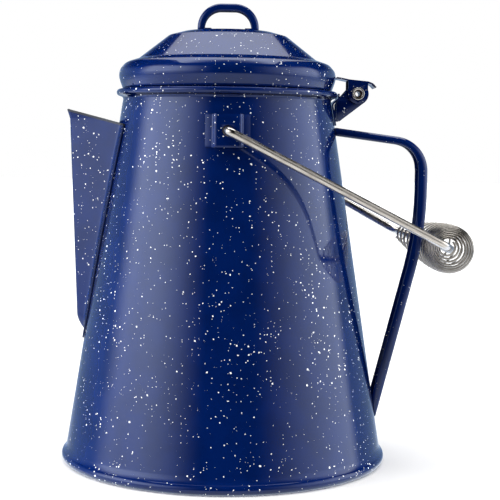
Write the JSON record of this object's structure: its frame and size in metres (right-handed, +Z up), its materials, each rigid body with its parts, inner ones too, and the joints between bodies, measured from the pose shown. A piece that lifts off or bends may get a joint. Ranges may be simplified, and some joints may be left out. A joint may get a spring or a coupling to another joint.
{
  "type": "coffee percolator",
  "caption": "Tapered enamelled-steel camp percolator with folded spout, channel side handle, hinged lid, swinging wire bail with coiled grip, and a lift-out pump and basket.",
  "frame": {"origin": "centre of the base's flat underside, on the pot's axis", "axes": "+Z up the pot's axis, +X towards the side handle and the lid hinge, -X towards the spout, Y along the bail's pivot axis"},
  "size_m": [0.2348, 0.185, 0.2584],
  "materials": {
    "speckled_enamel": "glossy navy enamel with fine white speckles",
    "bail_steel": "bright drawn wire",
    "rivet_steel": "bare satin rivet",
    "spun_aluminium": "spun satin"
  },
  "bodies": {
    "pot": {"body_wall": "speckled_enamel", "bottom_pan": "speckled_enamel", "spout_shell": "speckled_enamel", "side_handle": "speckled_enamel", "bail_lug_front": "speckled_enamel", "bail_lug_rear": "speckled_enamel", "hinge_bracket": "speckled_enamel", "hinge_pin": "rivet_steel"},
    "lid": {"lid_shell": "speckled_enamel", "lid_handle": "speckled_enamel", "lid_hinge_leaf": "speckled_enamel"},
    "bail": {"bail_wire": "bail_steel", "grip_coil": "bail_steel"},
    "pump": {"pump_tube": "spun_aluminium", "pump_foot": "spun_aluminium", "tube_collar": "spun_aluminium"},
    "basket": {"basket_cup": "spun_aluminium", "basket_sleeve": "spun_aluminium"},
    "spreader": {"spreader_plate": "spun_aluminium"}
  },
  "joints": [
    {"name": "lid_hinge", "type": "hinge", "parent": "pot", "child": "lid", "pos_m": [0.0736, 0, 0.209], "axis": [0, 1, 0], "range_deg": [0, 120]},
    {"name": "bail_swing", "type": "hinge", "parent": "pot", "child": "bail", "pos_m": [0, 0, 0.1865], "axis": [0, -1, 0], "range_deg": [0, 252]},
    {"name": "pump_lift", "type": "slide", "parent": "pot", "child": "pump", "axis": [0, 0, 1], "range_m": [0, 0.014]},
    {"name": "basket_lift", "type": "slide", "parent": "pump", "child": "basket", "axis": [0, 0, 1], "range_m": [0, 0.005]},
    {"name": "spreader_lift", "type": "slide", "parent": "basket", "child": "spreader", "axis": [0, 0, 1], "range_m": [0, 0.004]}
  ]
}
